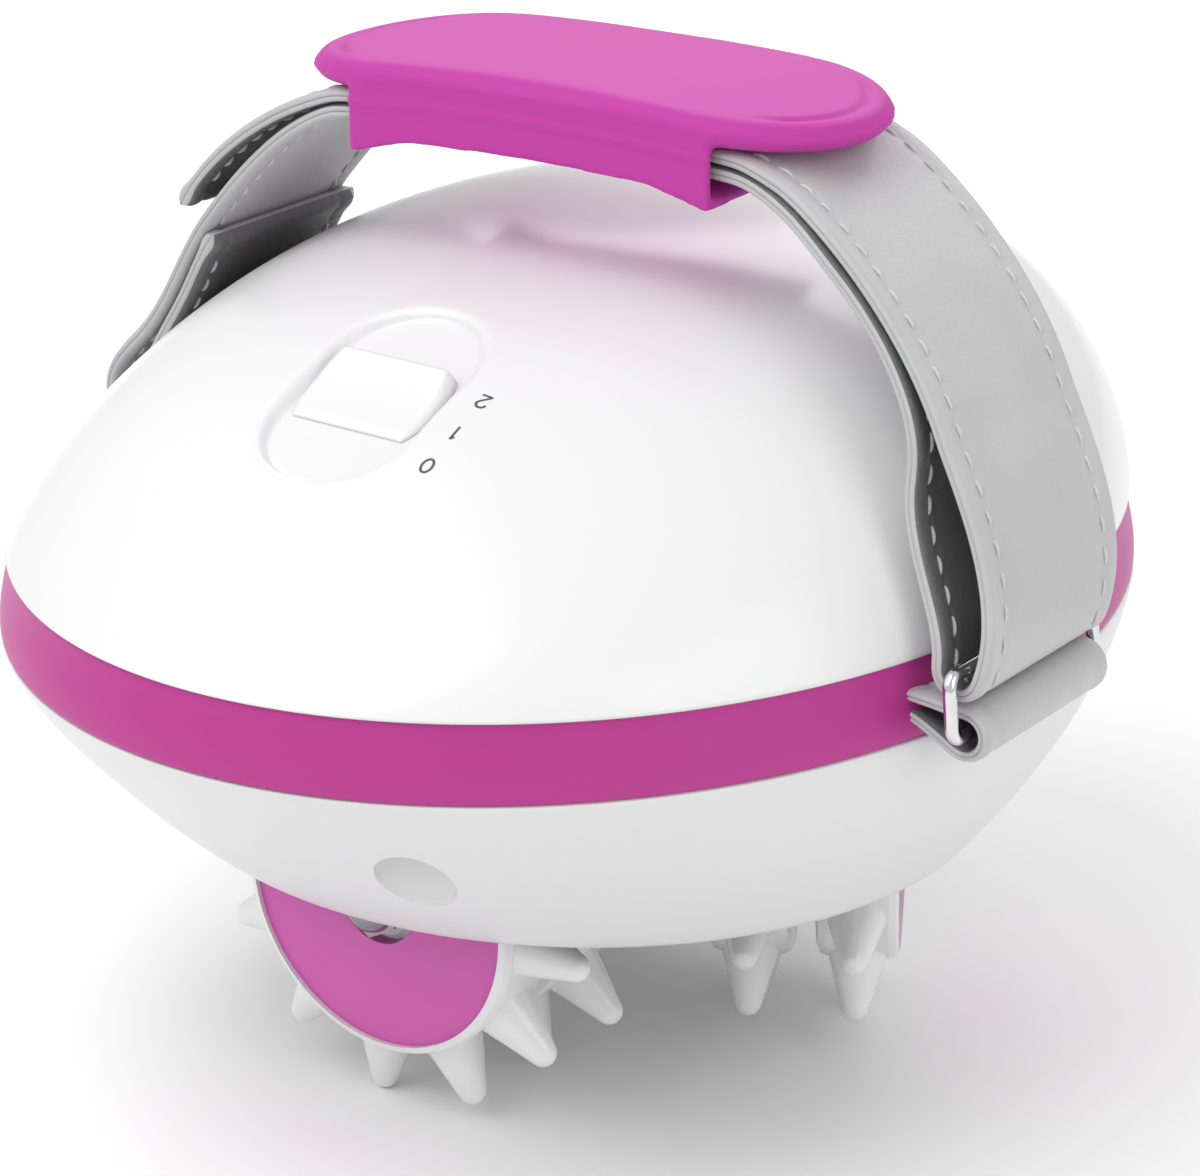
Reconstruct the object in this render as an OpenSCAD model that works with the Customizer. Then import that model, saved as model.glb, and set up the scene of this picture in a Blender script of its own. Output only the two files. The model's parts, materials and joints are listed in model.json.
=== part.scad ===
// Hand-held roller massager: a domed body on three studded rollers, with a slide switch,
// a hand strap and a grip sleeve. The nose points along -Y, the strap crosses along X,
// and Z = 0 is the surface that the rollers stand on.

/* [Body] */
// Half length of the body at the belt, nose to tail
body_half_l = 75; // [68:1:85]
// Half width of the body at the belt
body_half_w = 64; // [60:1:72]
// Height of the dome above the belt
dome_h = 33; // [30:1:40]
// How far the top of the dome lies behind the middle
dome_back = 16.5; // [8:0.5:20]
// Thickness of the moulded walls
wall = 2.2; // [1.8:0.1:3]
// Height of the belt
belt_h = 9.2; // [8:0.2:14]
// How far the belt flares out at its lower edge
belt_flare = 1.1; // [0.5:0.1:2]
// Thickness of the belt
belt_t = 3.4; // [2.6:0.1:5]
// Depth of the lower housing below the belt
bowl_h = 27.8; // [24:0.2:29]
// Half width of the lower opening
rim_half_w = 52; // [50:0.5:56]
// Half length of the lower opening
rim_half_l = 49.6; // [49:0.2:56]
// Distance of the housing screws from the middle, across
screw_x = 22; // [16:1:26]
// Distance of the housing screws from the middle, fore and aft
screw_y = 60; // [54:1:60]
// Radius of the screw wells
well_r = 4.6; // [4:0.1:5.4]
// Thickness of the chassis plate
chassis_t = 2.4; // [2:0.1:3]

/* [Rollers] */
// Radius from a roller's axle to the tips of its studs
tip_r = 28; // [26:0.5:28.4]
// Radius of the roller's rim
drum_r = 19.8; // [18:0.2:21]
// Studs in each ring
studs = 12; // [9:1:12]
// Radius of a stud at its foot
stud_foot_r = 3.9; // [3:0.1:4.4]
// Radius of a stud's round tip
stud_tip_r = 1.7; // [1.2:0.1:2]
// Width of one studded ring
ring_w = 10.2; // [8:0.2:11]
// Distance from the middle of the machine to the outer ring
outer_ring_at = 35.9; // [34:0.1:36.5]
// Distance between the two rings of a roller
ring_gap = 13.2; // [12:0.1:14.5]
// How far the studs are turned from straight down
stud_turn = 6.5; // [0:0.5:15]
// Radius of the coloured cover
cover_r = 18.6; // [16:0.2:19]
// Thickness of the coloured cover
cover_t = 1.8; // [1.2:0.1:2.6]
// How far the cover's face lies inside the roller's rim
cover_sink = 0.6; // [0:0.1:1]
// Radius of the roller axle
axle_r = 2.5; // [2:0.1:3]
// Height of the belt's upper edge above the axles
belt_over_axle = 39.5; // [39:0.5:44]

/* [Drive] */
// Teeth on the worm wheel
wheel_teeth = 24; // [20:1:26]
// Size of the teeth (pitch diameter over count)
gear_module = 1.25; // [1:0.05:1.3]
// Width of the worm wheel
wheel_w = 6; // [4:0.5:8]
// Pitch radius of the worm
worm_r = 5; // [4.5:0.1:6]
// Length of the worm
worm_l = 17; // [14:1:20]
// Height of the worm above the belt's upper edge
worm_over_belt = 7; // [6:0.5:9]
// Radius of the motor
motor_r = 12; // [10:0.5:12]
// Length of the motor
motor_l = 36; // [30:1:38]
// Radius of the output spindle
spindle_r = 4; // [3:0.1:5]

/* [Switch] */
// Distance of the switch in front of the middle
switch_at = 39.5; // [36:0.5:42]
// Length of the thumb recess
recess_l = 30.5; // [28:0.5:36]
// Width of the thumb recess
recess_w = 19.5; // [14:0.5:21]
// Depth of the thumb recess
recess_d = 2.2; // [1.5:0.1:2.6]
// Length of the knob
knob_l = 11; // [9:0.5:14]
// Distance between the switch positions
switch_step = 5.3; // [4:0.1:6]

/* [Strap] */
// Width of the strap
strap_w = 28; // [24:1:30]
// Thickness of the strap
strap_t = 1.6; // [1.2:0.1:2]
// Place of the strap's right foot along the body
right_foot_y = -9; // [-12:1:0]
// Place of the strap's left foot along the body
left_foot_y = 6; // [-9:1:9]
// Place of the strap's top along the body
strap_top_y = 3.9; // [0:0.1:6]
// Height of the strap's top over the belt
strap_top = 49; // [44:0.5:52]
// Radius of the strap's flat top
crown_r = 320; // [150:10:500]
// Turn of the grip across the body
grip_turn = 3.5; // [0:0.5:5]
// Radius of the wire of the rings
wire_r = 0.8; // [0.6:0.1:1]
// Thickness of the tab leather
tab_t = 1.4; // [1:0.1:1.6]
// Half length of the grip's top plate
grip_half_l = 38; // [36:1:46]
// Half length of the grip's sleeve
sleeve_half_l = 25; // [20:1:28]
// Thickness of the grip's top plate
grip_t = 3.6; // [2:0.1:4.5]

/* [Hidden] */

$fn = 64;
eps = 0.01;
shell_white = "#f6f6f8";
bowl_white = "#e9e9ec";
magenta = "#d457b8";
leather_grey = "#bdbdc0";
steel = "#c9ccd1";

// Levels, from the floor up
axle_z = tip_r * cos(stud_turn);
belt_z = axle_z + belt_over_axle;
belt_low = belt_z - belt_h;
rim_z = belt_low - bowl_h;
chassis_top = belt_low + chassis_t;
worm_z = belt_z + worm_over_belt;

// Dome: every level is the same ellipse, smaller and further back
dome_power = 3;
dome_root = 0.76;
dome_rings = 11;
dome_sides = 64;
function dome_rise(f) = pow(max(0, 1 - pow(f, dome_power)), dome_root);
// Height of the dome over the middle line at a distance y, by halving
function dome_z(y, lo = 0, hi = dome_h, n = 30) =
    n == 0 ? lo : let (
        z = (lo + hi) / 2,
        f = abs(y - dome_back * z / dome_h) / body_half_l
    ) (f < 1 && dome_h * dome_rise(f) > z) ? dome_z(y, z, hi, n - 1) : dome_z(y, lo, z, n - 1);
function reversed(v) = [for (i = [len(v) - 1:-1:0]) v[i]];

function dome_ring(f, inset) = let (z = (dome_h - inset) * dome_rise(f))
    [for (i = [0:dome_sides - 1]) let (a = 360 * i / dome_sides) [
        (body_half_w - inset) * f * cos(a),
        (body_half_l - inset) * f * sin(a) + dome_back * z / dome_h,
        belt_z + z
    ]];
function stack_faces(rings, n) = concat(
    [[for (i = [0:n - 1]) i]],
    [for (k = [0:rings - 2], i = [0:n - 1]) let (j = (i + 1) % n)
        [k * n + i, (k + 1) * n + i, (k + 1) * n + j]],
    [for (k = [0:rings - 2], i = [0:n - 1]) let (j = (i + 1) % n)
        [k * n + i, (k + 1) * n + j, k * n + j]],
    [[for (i = [n - 1:-1:0]) (rings - 1) * n + i]]
);
// Solid dome, smaller all round by the inset, and reaching down by the drop
module dome(inset, drop = 0) {
    levels = concat(
        drop > 0 ? [[for (p = dome_ring(1, inset)) p - [0, 0, drop]]] : [],
        [for (k = [0:dome_rings]) dome_ring(cos(90 * min(k, dome_rings - 0.15) / dome_rings), inset)]
    );
    polyhedron(points = [for (r = levels) each r], faces = stack_faces(len(levels), dome_sides));
}

module ellipse_plate(half_w, half_l, z0, z1) {
    translate([0, 0, z0]) scale([half_w / half_l, 1, 1]) cylinder(r = half_l, h = z1 - z0);
}

module stadium(l, w, h) {
    translate([-w / 2, -(l - w) / 2, 0]) cube([w, l - w, h]);
    for (s = [-1, 1]) translate([0, s * (l - w) / 2, 0]) cylinder(d = w, h = h);
}

module at_screws() {
    for (sx = [-1, 1], sy = [-1, 1]) translate([sx * screw_x, sy * screw_y, 0]) children();
}

// Switch frame: its Y runs up the middle line of the dome, its Z stands out of the shell
switch_z = belt_z + dome_z(-switch_at);
switch_tilt = atan2(dome_z(6 - switch_at) - dome_z(-6 - switch_at), 12);
floor_t = 1.8;
knob_slot_w = 3.4;
stem_w = 3;
stem_l = 4;
stem_drop = 6;
module at_switch() {
    translate([0, -switch_at, switch_z]) rotate([switch_tilt, 0, 0]) children();
}

screw_r = 1.5;
head_r = 2.9;
head_h = 2;
boss_r = 4;
seat_z = belt_low - 4.2;

module upper_housing() {
    color(shell_white) difference() {
        union() {
            difference() {
                dome(0);
                dome(wall, 1);
            }
            intersection() {
                dome(wall / 2);
                union() {
                    at_switch() translate([0, 0, -recess_d - floor_t])
                        stadium(recess_l + 2 * wall, recess_w + 2 * wall, recess_d + floor_t);
                    at_screws() translate([0, 0, belt_z]) cylinder(r = boss_r, h = dome_h);
                }
            }
            at_screws() translate([0, 0, chassis_top]) cylinder(r = boss_r, h = belt_z - chassis_top + 1);
        }
        at_switch() translate([0, 0, -recess_d]) stadium(recess_l, recess_w, dome_h);
        at_switch() translate([0, 0, -recess_d - 2 * floor_t])
            stadium(stem_l + 2 * switch_step + 2.4, knob_slot_w + 0.6, 3 * floor_t);
        at_screws() translate([0, 0, chassis_top - 1]) cylinder(r = screw_r, h = 9, $fn = 32);
    }
}

tab_z = belt_z - belt_h / 2;
tab_gap = 2 * tab_t;
module accent_belt() {
    inner = body_half_l - belt_t;
    color(magenta) difference() {
        translate([0, 0, belt_low]) scale([body_half_w / body_half_l, 1, 1]) rotate_extrude($fn = 96)
            polygon([
                [inner, 0], [inner, belt_h], [body_half_l - 0.35, belt_h],
                [body_half_l - 0.3, belt_h * 0.86], [body_half_l, belt_h * 0.66],
                [body_half_l + belt_flare * 0.75, belt_h * 0.42],
                [body_half_l + belt_flare, belt_h * 0.22], [body_half_l + belt_flare, belt_h * 0.08],
                [body_half_l + belt_flare * 0.8, 0]
            ]);
        for (s = [-1, 1]) translate([s * body_half_w, foot_y(s), tab_z])
            cube([4 * belt_t, strap_w - 0.6, tab_gap + 0.2], center = true);
        translate([0, body_half_l - 2 * belt_t, jack_z]) rotate([-90, 0, 0])
            cylinder(r = jack_nose_r + 0.05, h = 4 * belt_t);
    }
}

// Lower housing: from the belt's ellipse in to a nearly round rim
bowl_rings = 8;
bowl_sides = 72;
function bowl_w(u, inset) = rim_half_w - inset
    + (body_half_w + belt_flare - rim_half_w) * pow(max(0, 1 - pow(u, 1.84)), 1.05);
function bowl_l(u, inset) = rim_half_l - inset
    + (body_half_l + belt_flare - rim_half_l) * pow(max(0, 1 - pow(u, 1.15)), 0.94);
function bowl_ring(u, inset, z) = [for (i = [0:bowl_sides - 1]) let (a = 360 * i / bowl_sides)
    [bowl_w(u, inset) * cos(a), bowl_l(u, inset) * sin(a), z]];
module bowl(inset, lift, drop) {
    levels = concat(
        drop > 0 ? [bowl_ring(1, inset, rim_z - drop)] : [],
        [for (k = [0:bowl_rings]) bowl_ring(1 - k / bowl_rings, inset, rim_z + bowl_h * k / bowl_rings)],
        lift > 0 ? [bowl_ring(0, inset, belt_low + lift)] : []
    );
    polyhedron(points = [for (r = levels) each r], faces = stack_faces(len(levels), bowl_sides));
}

flange_w = 7.5;
module lower_housing() {
    color(bowl_white) difference() {
        union() {
            difference() {
                bowl(0, 0, 0);
                difference() {
                    bowl(wall, 1, 1);
                    translate([-body_half_l, -body_half_l * 1.5, belt_low - chassis_t])
                        cube([2 * body_half_l, 3 * body_half_l, 3 * chassis_t]);
                }
                ellipse_plate(body_half_w - flange_w, body_half_l - flange_w, belt_low - 2 * chassis_t, belt_low + 1);
            }
            intersection() {
                bowl(wall / 2, 0, 0);
                at_screws() translate([0, 0, rim_z]) cylinder(r = well_r + wall * 0.7, h = bowl_h - eps);
            }
        }
        at_screws() translate([0, 0, rim_z - 1]) cylinder(r = well_r, h = seat_z - rim_z + 1);
        at_screws() translate([0, 0, seat_z - 1]) cylinder(r = screw_r, h = 9, $fn = 32);
    }
}

module chassis_plate() {
    color("#dfe1e4") difference() {
        union() {
            ellipse_plate(body_half_w - belt_t - 0.4, body_half_l - belt_t - 0.4, belt_low, chassis_top);
            translate([0, 0, chassis_top - eps]) cylinder(r = bush_r + 2.4, h = bush_up);
        }
        at_screws() translate([0, 0, belt_low - 1]) cylinder(r = screw_r, h = 9, $fn = 32);
        translate([0, 0, belt_low - 1]) cylinder(r = bush_r, h = 20);
        for (x = [-1, 1]) translate([worm_x + x * clamp_foot, motor_y + motor_l / 2, belt_low - 1])
            cylinder(r = 1.2, h = 9, $fn = 32);
    }
}

module housing_screws() {
    color(steel) at_screws() translate([0, 0, seat_z]) difference() {
        union() {
            translate([0, 0, -head_h]) cylinder(r = head_r, h = head_h, $fn = 32);
            cylinder(r = screw_r, h = chassis_top + 7.5 - seat_z, $fn = 32);
        }
        for (a = [0, 90]) rotate(a) translate([-1.7, -0.35, -head_h - eps]) cube([3.4, 0.7, 1.1]);
    }
}

// Drive: motor and worm lie along Y on the left of the spindle
wheel_r = gear_module * wheel_teeth / 2;
worm_x = -(wheel_r + worm_r);
worm_lead = PI * gear_module;
shaft_r = 1.15;
bush_r = spindle_r + 1.5;
bush_up = 5.4;
motor_y = worm_l / 2 + 6.5;
clamp_foot = motor_r + 3.6;
bearing_y = -(worm_l / 2 + 3);
bearing_t = 4;

module motor() {
    color(steel) translate([worm_x, motor_y, worm_z]) rotate([-90, 0, 0]) difference() {
        union() {
            translate([0, 0, 0.8]) cylinder(r = motor_r, h = motor_l - 3.8);
            cylinder(r = motor_r - 0.8, h = motor_l - 1);
            translate([0, 0, -2]) cylinder(r = 3.2, h = 3);
            translate([0, 0, motor_l - 1 - eps]) cylinder(r = 3.4, h = 1.6);
            for (s = [-1, 1]) translate([s * 7 - 1.2, -0.3, motor_l - 2]) cube([2.4, 0.6, 4.4]);
        }
        translate([0, 0, -3]) cylinder(r = shaft_r + 0.05, h = motor_l - 6, $fn = 32);
    }
}

module motor_clamp() {
    t = 1.6;
    low = worm_z - chassis_top;
    color("#8f949b") translate([worm_x, motor_y + motor_l / 2, chassis_top]) rotate([90, 0, 0])
        translate([0, 0, -5]) difference() {
            linear_extrude(10) difference() {
                union() {
                    translate([0, low]) circle(r = motor_r + t);
                    translate([-motor_r - t, 0]) square([2 * (motor_r + t), low]);
                    translate([-clamp_foot - 3, 0]) square([2 * clamp_foot + 6, t]);
                }
                translate([0, low]) circle(r = motor_r);
                translate([-motor_r, -1]) square([2 * motor_r, low + 1]);
            }
            for (s = [-1, 1]) translate([s * clamp_foot, -1, 5]) rotate([-90, 0, 0])
                cylinder(r = 1.2, h = 3 * t, $fn = 32);
        }
}

module motor_shaft() {
    color(steel) translate([worm_x, bearing_y - bearing_t - 0.6, worm_z]) rotate([-90, 0, 0])
        cylinder(r = shaft_r, h = motor_y + motor_l - 10 - bearing_y + bearing_t + 0.6, $fn = 32);
}

module worm_bearing() {
    low = worm_z - chassis_top;
    color("#b9bdc4") translate([worm_x, bearing_y, worm_z]) difference() {
        rotate([90, 0, 0]) linear_extrude(bearing_t) {
            circle(r = 4.4);
            translate([-4.4, -low]) square([8.8, low]);
            translate([-9, -low]) square([18, 2]);
        }
        rotate([90, 0, 0]) translate([0, 0, -1]) cylinder(r = shaft_r + 0.05, h = bearing_t + 2, $fn = 32);
    }
}

// Worm: a core with one right-handed thread swept as a helix
thread_steps = 24;
thread_foot = 0.72;
thread_top = 0.38;
worm_root = worm_r - gear_module * 1.15;
worm_tip = worm_r + gear_module * 0.8;
thread_turns = (worm_l - 4) / worm_lead;
thread_n = round(thread_steps * thread_turns);
module drive_worm() {
    rows = [for (i = [0:thread_n]) let (
            a = 360 * i / thread_steps,
            y = worm_lead * (i - thread_n / 2) / thread_steps
        ) each [for (q = [[worm_root - 0.3, -thread_foot], [worm_tip, -thread_top],
                          [worm_tip, thread_top], [worm_root - 0.3, thread_foot]])
            [q[0] * cos(a), q[0] * sin(a), y + q[1]]]];
    faces = concat(
        [[3, 2, 1, 0]],
        [for (i = [0:thread_n - 1], k = [0:3]) let (m = (k + 1) % 4)
            [4 * i + k, 4 * i + m, 4 * (i + 1) + m]],
        [for (i = [0:thread_n - 1], k = [0:3]) let (m = (k + 1) % 4)
            [4 * i + k, 4 * (i + 1) + m, 4 * (i + 1) + k]],
        [[for (k = [0:3]) 4 * thread_n + k]]
    );
    color("#3f4247") translate([worm_x, 0, worm_z]) rotate([-90, 0, 0]) difference() {
        union() {
            translate([0, 0, -worm_l / 2]) cylinder(r = worm_root, h = worm_l, $fn = 48);
            rotate(worm_phase) polyhedron(points = rows, faces = faces);
        }
        translate([0, 0, -worm_l]) cylinder(r = shaft_r, h = 2 * worm_l, $fn = 32);
    }
}
// Turned so that a thread lies in the gap between two teeth at the mesh
worm_phase = -180 - 180 * thread_n / thread_steps;

module worm_wheel() {
    n = wheel_teeth;
    step = 360 / n;
    foot = wheel_r - gear_module * 1.2;
    top = wheel_r + gear_module * 0.85;
    teeth = [for (i = [0:n - 1]) let (a = i * step) each [
        [foot * cos(a - step * 0.27), foot * sin(a - step * 0.27)],
        [wheel_r * cos(a - step * 0.16), wheel_r * sin(a - step * 0.16)],
        [top * cos(a - step * 0.09), top * sin(a - step * 0.09)],
        [top * cos(a + step * 0.09), top * sin(a + step * 0.09)],
        [wheel_r * cos(a + step * 0.16), wheel_r * sin(a + step * 0.16)],
        [foot * cos(a + step * 0.27), foot * sin(a + step * 0.27)]
    ]];
    color("#efe9d2") translate([0, 0, worm_z]) difference() {
        union() {
            translate([0, 0, -wheel_w / 2]) linear_extrude(wheel_w) polygon(teeth);
            translate([0, 0, -wheel_w / 2 - 1.5]) cylinder(r = spindle_r + 2.5, h = wheel_w + 3);
        }
        translate([0, 0, -wheel_w]) cylinder(r = spindle_r, h = 2 * wheel_w);
        for (s = [0, 1]) translate([0, 0, s == 0 ? -wheel_w / 2 - 1 : wheel_w / 2 - 1.4])
            difference() {
                cylinder(r = foot - 2, h = 2.4);
                translate([0, 0, -1]) cylinder(r = spindle_r + 2.5, h = 6);
            }
    }
}

module spindle_bush() {
    color("#b98a4a") difference() {
        union() {
            translate([0, 0, belt_low - 1.2]) cylinder(r = bush_r + 2, h = 1.2);
            translate([0, 0, belt_low]) cylinder(r = bush_r, h = chassis_t + bush_up);
        }
        translate([0, 0, belt_low - 5]) cylinder(r = spindle_r + 0.05, h = 20);
    }
}

hub_r = 12.5;
hub_top = axle_z + 8;
hub_low = axle_z - 7;
module output_spindle() {
    color(steel) translate([0, 0, axle_z]) cylinder(r = spindle_r, h = worm_z + wheel_w / 2 + 2.5 - axle_z);
}

roller_angles = [-90, 30, 150];
arm_end = outer_ring_at - ring_gap - ring_w / 2 - 0.5;
module roller_carrier() {
    color("#d9d9dd") difference() {
        union() {
            translate([0, 0, hub_low]) cylinder(r = hub_r, h = hub_top - hub_low);
            translate([0, 0, hub_top - eps]) cylinder(r1 = hub_r, r2 = bush_r + 2, h = 4);
            translate([0, 0, hub_top]) cylinder(r = spindle_r + 2.4, h = belt_low - 1.7 - hub_top);
            translate([0, 0, hub_low - 1.5]) cylinder(r1 = hub_r - 3, r2 = hub_r, h = 1.5 + eps);
            for (a = roller_angles) rotate(a) translate([0, 0, axle_z]) rotate([0, 90, 0])
                cylinder(r = 6, h = arm_end);
        }
        translate([0, 0, axle_z]) cylinder(r = spindle_r, h = 60);
        for (a = roller_angles) rotate(a) translate([spindle_r + 1.6, 0, axle_z]) rotate([0, 90, 0])
            cylinder(r = axle_r, h = 40);
    }
}

cover_at = outer_ring_at + ring_w / 2 - cover_t - cover_sink;
nut_at = cover_at + 0.3;
module roller_axles() {
    color(steel) for (a = roller_angles) rotate(a) translate([spindle_r + 1.6, 0, axle_z]) rotate([0, 90, 0])
        cylinder(r = axle_r, h = nut_at + 3.2 - spindle_r - 1.6);
}

module domed_nuts() {
    color(steel) for (a = roller_angles) rotate(a) translate([nut_at, 0, axle_z]) rotate([0, 90, 0])
        difference() {
            union() {
                cylinder(r = 4.7, h = 0.8);
                translate([0, 0, 0.8 - eps]) cylinder(r = 4.4, h = 2.2, $fn = 6);
                translate([0, 0, 2.6]) intersection() {
                    scale([1, 1, 0.8]) sphere(r = 3.6);
                    cylinder(r = 4, h = 6);
                }
            }
            translate([0, 0, -1]) cylinder(r = axle_r, h = 4.2);
        }
}

// One studded ring, its middle at the origin and its axle along Z
module stud() {
    foot = drum_r - 1;
    centre = tip_r - stud_tip_r;
    rotate_extrude($fn = 32) polygon(concat(
        [[0, foot], [stud_foot_r, foot]],
        [for (i = [1:6]) let (a = 90 * i / 6) [stud_tip_r * cos(a), centre + stud_tip_r * sin(a)]]
    ));
}
module studded_ring(recess) {
    round_r = 1.2;
    difference() {
        union() {
            rotate_extrude() translate([0, -ring_w / 2]) polygon([
                [0, 0], [drum_r - round_r, 0], [drum_r - round_r * 0.3, round_r * 0.3], [drum_r, round_r],
                [drum_r, ring_w - round_r], [drum_r - round_r * 0.3, ring_w - round_r * 0.3],
                [drum_r - round_r, ring_w], [0, ring_w]
            ]);
            for (i = [0:studs - 1]) rotate([0, 0, 360 * i / studs]) rotate([0, 90, 0]) stud();
        }
        cylinder(r = roller_bush_r, h = 4 * ring_w, center = true);
        if (recess) translate([0, 0, cover_at - outer_ring_at]) cylinder(r = cover_r, h = 2 * cover_t + 1);
    }
}
roller_bush_r = axle_r + 1.6;
// Carries a roller's own parts out along its arm, with a stud near the floor
module on_arm(a, out) {
    rotate(a) translate([out, 0, axle_z]) rotate([0, 90, 0]) rotate([0, 0, -stud_turn]) children();
}
module outer_roller(a) {
    color("#f2f2f4") on_arm(a, outer_ring_at) studded_ring(true);
}
module inner_roller(a) {
    color("#f2f2f4") on_arm(a, outer_ring_at - ring_gap) studded_ring(false);
}
cover_hole_r = 5.6;
module roller_cover(a) {
    color(magenta) on_arm(a, cover_at) difference() {
        cylinder(r = cover_r, h = cover_t);
        translate([0, 0, -1]) cylinder(r = cover_hole_r, h = cover_t + 2);
    }
}
module roller_bush(a) {
    bush_l = nut_at - 0.25 - (arm_end + 0.25);
    color("#d8b36a") on_arm(a, arm_end + 0.25) difference() {
        cylinder(r = roller_bush_r, h = bush_l);
        translate([0, 0, -1]) cylinder(r = axle_r + 0.05, h = bush_l + 2);
    }
}

// Electrics
board_x = 21;
board_y = -16;
board_l = 44;
board_w = 25;
board_z = chassis_top + 5;
module circuit_board() {
    color("#2f7d4f") translate([board_x, board_y, board_z]) {
        difference() {
            cube([board_w, board_l, 1.6]);
            for (x = [3, board_w - 3], y = [3, board_l - 3]) translate([x, y, -1])
                cylinder(r = 1.2, h = 4, $fn = 32);
        }
        translate([6, 14, 1.6 - eps]) cube([7, 9, 1.6]);
        translate([17, 12, 1.6 - eps]) cylinder(r = 3.2, h = 8);
        translate([17, 20, 1.6 - eps]) cylinder(r = 3.2, h = 8);
        translate([7, 32, 1.6 - eps]) cube([10, 5, 6]);
        translate([3, 4 + 2, 1.6 - eps]) cube([6, 4, 2.2]);
    }
}
module board_posts() {
    color("#d9d9dd") translate([board_x, board_y, chassis_top])
        for (x = [3, board_w - 3], y = [3, board_l - 3]) translate([x, y, 0]) {
            cylinder(r = 2.4, h = board_z - chassis_top, $fn = 32);
            cylinder(r = 1.2, h = board_z - chassis_top + 2, $fn = 32);
            translate([0, 0, board_z - chassis_top + 1.6]) cylinder(r = 2.1, h = 1.2, $fn = 32);
        }
}

jack_nose_r = 3.1;
jack_bore_r = 1.8;
jack_z = chassis_top + 3.4;
module supply_jack() {
    y0 = body_half_l - belt_t - 12.5;
    color("#26262a") difference() {
        union() {
            translate([-4.5, y0, chassis_top]) cube([9, 12, 6.8]);
            translate([0, y0 + 1, jack_z]) rotate([-90, 0, 0])
                cylinder(r = jack_nose_r, h = body_half_l - y0 - 1);
        }
        translate([0, body_half_l - 9.5, jack_z]) rotate([-90, 0, 0]) cylinder(r = jack_bore_r, h = 20);
    }
}

// Switch: the body hangs under the recess floor, and the knob's stem reaches into it
module slide_switch() {
    body_l = stem_l + 2 * switch_step + 6;
    top = -recess_d - floor_t;
    color("#2b2b30") at_switch() difference() {
        translate([-4.5, -body_l / 2, top - 7]) cube([9, body_l, 7]);
        translate([0, 0, top - 3]) stadium(stem_l + 2 * switch_step + 2.4, knob_slot_w + 0.6, 4);
    }
}
module switch_knob() {
    w = recess_w - 1.6;
    lift = 0.15;
    // Side outline: a low front lip, a thumb hollow and a taller rear ridge
    front = -knob_l / 2;
    rear = knob_l / 2;
    hollow = [for (i = [0:10]) let (f = i / 10)
        [front + 1.2 + (knob_l - 2.8) * f, 0.7 + 1.5 * f - 0.3 * sin(180 * f)]];
    color(shell_white) at_switch() {
        translate([0, 0, -recess_d + lift]) intersection() {
            rotate([90, 0, 90]) translate([0, 0, -w / 2]) linear_extrude(w) polygon(concat(
                [[rear, 0], [front, 0], [front + 0.3, 0.5]],
                hollow,
                [[rear - 0.8, 2.35], [rear - 0.2, 1.8]]
            ));
            stadium(recess_l - 2 * switch_step - 1, w, 8);
        }
        translate([-stem_w / 2, -stem_l / 2, -recess_d + lift - stem_drop + 2])
            cube([stem_w, stem_l, stem_drop - 1]);
    }
}

// Strap hardware: the tab's loop holds the lower bar, the strap's fold goes round the upper bar
low_bar = [body_half_w + 4.6, belt_z - 7];
high_bar = [body_half_w + 3.8, belt_z + 0.3];
tab_hole_r = wire_r + 0.3;
tab_w = strap_w - 1;
clip_l = 5.6;
tab_tail = body_half_w - belt_t - 8;
module sided(s) {
    if (s > 0) children();
    else mirror([1, 0, 0]) children();
}
function foot_y(s) = s > 0 ? right_foot_y : left_foot_y;
// Extrudes an outline drawn in X and Z across the strap's width at one foot
module across_foot(s, w) {
    translate([0, foot_y(s) + w / 2, 0]) rotate([90, 0, 0]) linear_extrude(w) children();
}
module tab_loop(s) {
    r = tab_hole_r + tab_t;
    tail = tab_tail;
    color(leather_grey) sided(s) across_foot(s, tab_w) difference() {
        union() {
            translate(low_bar) circle(r = r);
            polygon([
                [tail, tab_z - tab_t], [body_half_w + 0.8, tab_z - tab_t],
                [low_bar[0] - r * cos(70), low_bar[1] - r * sin(70)],
                low_bar,
                [low_bar[0] + r * cos(50), low_bar[1] + r * sin(50)],
                [body_half_w + 0.8, tab_z + tab_t], [tail, tab_z + tab_t]
            ]);
        }
        translate(low_bar) circle(r = tab_hole_r);
    }
}
module clip(s) {
    tail = tab_tail - 0.1;
    far = tail - 2;
    color("#9a9ea6") sided(s) across_foot(s, tab_w - 6) difference() {
        translate([far, chassis_top]) square([clip_l + 2, tab_z + tab_t + 1.6 - chassis_top]);
        translate([tail, tab_z - tab_t]) square([clip_l + 2, 2 * tab_t]);
    }
}
module wire_ring(s) {
    reach = norm(high_bar - low_bar);
    turn = atan2(high_bar[1] - low_bar[1], high_bar[0] - low_bar[0]);
    half = strap_w / 2 + 0.6 + wire_r;
    bend = 1.6;
    color(steel) sided(s) translate([low_bar[0], foot_y(s), low_bar[1]]) rotate([0, -turn, 0]) {
        for (x = [0, reach]) translate([x, -half + bend, 0]) rotate([-90, 0, 0])
            cylinder(r = wire_r, h = 2 * (half - bend), $fn = 32);
        for (y = [-half, half]) translate([bend, y, 0]) rotate([0, 90, 0])
            cylinder(r = wire_r, h = reach - 2 * bend, $fn = 32);
        for (q = [[bend, -half + bend, 180], [reach - bend, -half + bend, 270],
                  [reach - bend, half - bend, 0], [bend, half - bend, 90]])
            translate([q[0], q[1], 0]) rotate(q[2]) rotate_extrude(angle = 90)
                translate([bend, 0]) circle(r = wire_r, $fn = 32);
    }
}

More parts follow.
